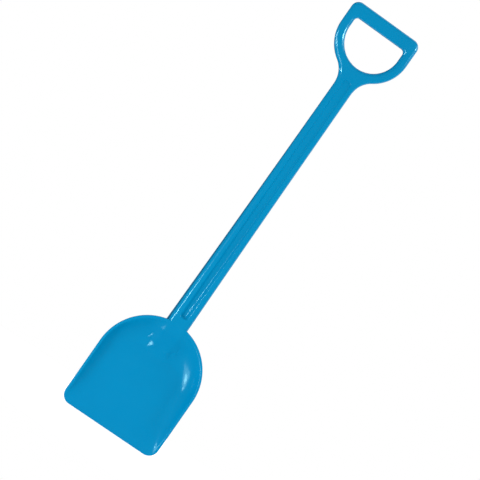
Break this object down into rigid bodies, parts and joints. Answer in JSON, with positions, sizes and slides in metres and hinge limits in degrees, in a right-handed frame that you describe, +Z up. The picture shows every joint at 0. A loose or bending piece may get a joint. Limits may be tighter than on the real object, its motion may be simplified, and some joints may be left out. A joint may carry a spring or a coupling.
{
  "type": "sand shovel",
  "caption": "Child's sand shovel in glossy blue plastic: hollow arched blade with a low rim, tapering shaft with a channel along it, and a D-shaped hand grip.",
  "frame": {"origin": "under the middle of the bounding box, level with the digging edge; the shovel is upright, as a hand at its grip holds it, because it can't stand on its thin edge by itself", "axes": "+Z up along the shaft from the blade to the grip, +X across the blade, -Y out of the hollow of the blade"},
  "size_m": [0.125, 0.0216, 0.55],
  "materials": {
    "blue_plastic": "smooth glossy moulded plastic"
  },
  "bodies": {
    "root": {"blade": "blue_plastic", "shaft": "blue_plastic", "grip": "blue_plastic"}
  },
  "joints": []
}
